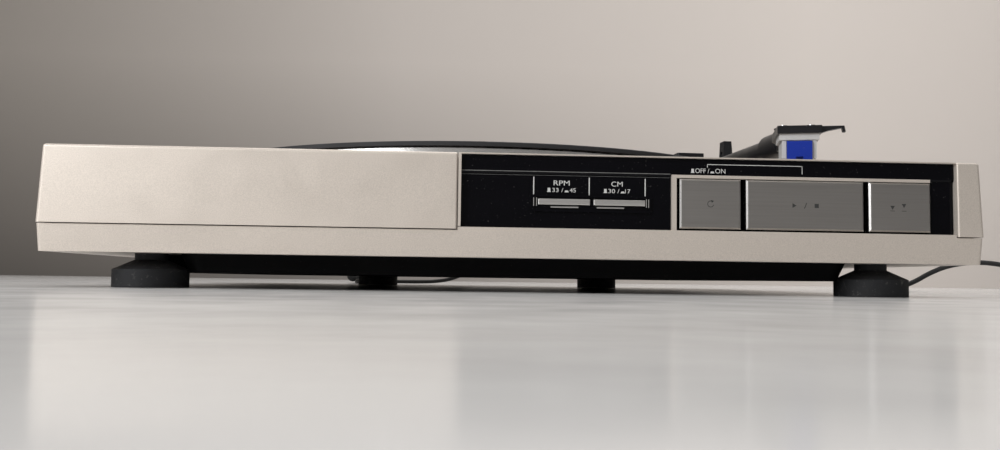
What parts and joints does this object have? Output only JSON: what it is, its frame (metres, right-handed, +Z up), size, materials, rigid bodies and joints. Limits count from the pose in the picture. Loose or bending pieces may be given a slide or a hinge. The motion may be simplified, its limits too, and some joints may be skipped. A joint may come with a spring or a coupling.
{
  "type": "turntable",
  "caption": "Low automatic record player with belt-driven platter, straight tonearm, front push buttons, two selector keys and rubber feet, lid removed.",
  "frame": {"origin": "centre of the bounding box in X and Y of the plinth, on the plane of the four feet", "axes": "+X to the right seen from the front, +Y to the back, +Z up"},
  "size_m": [0.6538, 0.543, 0.0954],
  "materials": {
    "case_silver": "satin",
    "pan_black": "satin",
    "foot_rubber": "matte",
    "panel_gloss": "gloss",
    "button_aluminium": "brushed",
    "key_silver": "satin",
    "black_plastic": "satin",
    "platter_aluminium": "polished",
    "mat_rubber": "matte",
    "steel": "satin",
    "brass": "satin",
    "chrome": "polished",
    "nylon": "satin",
    "board": "satin",
    "belt_rubber": "satin",
    "shell_graphite": "satin",
    "cartridge_white": "satin",
    "guard_blue": "gloss",
    "cord_black": "satin"
  },
  "bodies": {
    "plinth": {"cabinet": "case_silver", "left_block": "case_silver", "right_block": "case_silver", "lower_frame": "case_silver", "bottom_pan": "pan_black", "foot_front_left": "foot_rubber", "foot_front_right": "foot_rubber", "foot_rear_left": "foot_rubber", "foot_rear_right": "foot_rubber", "foot_screws": "steel", "case_screws": "steel", "fascia_upper": "panel_gloss", "fascia_panel": "panel_gloss", "button_frame": "case_silver", "switch_block": "black_plastic", "hinge_sockets": "black_plastic", "bearing_housing": "brass", "sub_chassis": "steel", "motor": "steel", "motor_plate": "steel", "motor_grommets": "belt_rubber", "drive_belt": "belt_rubber", "control_board": "board", "transformer": "steel", "arm_base": "black_plastic", "arm_rest": "black_plastic", "lift_sleeve": "chrome", "mains_strain_relief": "cord_black", "mains_cord": "cord_black", "mains_coil": "cord_black", "mains_plug": "cord_black", "phono_strain_relief": "cord_black", "phono_cord": "cord_black", "phono_hank": "cord_black", "phono_plugs": "cord_black", "phono_tie": "cord_black"},
    "platter_body": {"spindle": "steel", "platter_gear": "nylon", "platter": "platter_aluminium", "platter_mat": "mat_rubber"},
    "pulley_body": {"motor_pulley": "brass"},
    "cam_body": {"cam_gear": "nylon"},
    "lever_body": {"drive_lever": "steel"},
    "gimbal_body": {"arm_gimbal": "shell_graphite"},
    "tonearm_body": {"arm_tube": "shell_graphite", "locking_ring": "shell_graphite", "headshell": "shell_graphite", "headshell_screws": "chrome", "cartridge": "cartridge_white", "stylus_guard": "guard_blue"},
    "sleeve_body": {"weight_sleeve": "chrome"},
    "counterweight_body": {"counterweight": "chrome"},
    "lift_body": {"lift_platform": "black_plastic"},
    "clamp_body": {"rest_clamp": "black_plastic"},
    "repeat_body": {"repeat_button": "button_aluminium"},
    "start_body": {"start_button": "button_aluminium"},
    "cue_body": {"cue_button": "button_aluminium"},
    "speed_body": {"speed_key": "key_silver"},
    "size_body": {"size_key": "key_silver"},
    "dial_body": {"antiskate_dial": "black_plastic"}
  },
  "joints": [
    {"name": "platter_spin", "type": "hinge", "parent": "plinth", "child": "platter_body", "pos_m": [-0.0144, -0.0081, 0.055], "axis": [0, 0, -1], "continuous": true},
    {"name": "pulley_spin", "type": "hinge", "parent": "plinth", "child": "pulley_body", "pos_m": [-0.0936, 0.0711, 0.05], "axis": [0, 0, -1], "continuous": true},
    {"name": "cam_spin", "type": "hinge", "parent": "plinth", "child": "cam_body", "pos_m": [0.03393, 0.02574, 0.047], "axis": [0, 0, -1], "continuous": true},
    {"name": "lever_swing", "type": "hinge", "parent": "plinth", "child": "lever_body", "pos_m": [0.09313, 0.05524, 0.037], "axis": [0, 0, -1], "range_deg": [0, 10]},
    {"name": "arm_swing", "type": "hinge", "parent": "plinth", "child": "gimbal_body", "pos_m": [0.136, 0.095, 0.058], "axis": [0, 0, -1], "range_deg": [0, 42]},
    {"name": "arm_tilt", "type": "hinge", "parent": "gimbal_body", "child": "tonearm_body", "pos_m": [0.136, 0.095, 0.0776], "axis": [-0.9986, -0.0523, 0], "range_deg": [0, 2.9]},
    {"name": "weight_slide", "type": "slide", "parent": "tonearm_body", "child": "sleeve_body", "axis": [-0.0523, 0.9986, 0], "range_m": [-0.004, 0.006]},
    {"name": "weight_turn", "type": "hinge", "parent": "sleeve_body", "child": "counterweight_body", "pos_m": [0.13453, 0.12296, 0.0776], "axis": [-0.0523, 0.9986, 0], "range_deg": [-360, 540]},
    {"name": "clamp_turn", "type": "hinge", "parent": "plinth", "child": "clamp_body", "pos_m": [0.148, 0.04756, 0.0862], "axis": [0.0523, -0.9986, 0], "range_deg": [0, 90]},
    {"name": "repeat_press", "type": "slide", "parent": "plinth", "child": "repeat_body", "axis": [0, 1, 0], "range_m": [0, 0.0025], "stiffness_N_per_m": 180},
    {"name": "start_press", "type": "slide", "parent": "plinth", "child": "start_body", "axis": [0, 1, 0], "range_m": [0, 0.0025], "stiffness_N_per_m": 220},
    {"name": "cue_press", "type": "slide", "parent": "plinth", "child": "cue_body", "axis": [0, 1, 0], "range_m": [0, 0.0025], "stiffness_N_per_m": 180},
    {"name": "speed_press", "type": "slide", "parent": "plinth", "child": "speed_body", "axis": [0, 1, 0], "range_m": [0, 0.002], "stiffness_N_per_m": 120},
    {"name": "size_press", "type": "slide", "parent": "plinth", "child": "size_body", "axis": [0, 1, 0], "range_m": [0, 0.002], "stiffness_N_per_m": 120},
    {"name": "dial_turn", "type": "hinge", "parent": "plinth", "child": "dial_body", "pos_m": [0.163, 0.056, 0.056], "axis": [0, 0, 1], "range_deg": [0, 270]},
    {"name": "lift_rise", "type": "slide", "parent": "plinth", "child": "lift_body", "axis": [0, 0, 1], "range_m": [0, 0.0016]}
  ],
  "couplings": [
    {"joint": "pulley_spin", "follows": "platter_spin", "ratio": 10.865},
    {"joint": "cam_spin", "follows": "platter_spin", "ratio": -0.18},
    {"joint": "weight_turn", "follows": "weight_slide", "rad_per_m": 1570.8},
    {"joint": "lift_rise", "follows": "cue_press", "ratio": 0.64},
    {"joint": "arm_tilt", "follows": "cue_press", "rad_per_m": 20}
  ]
}
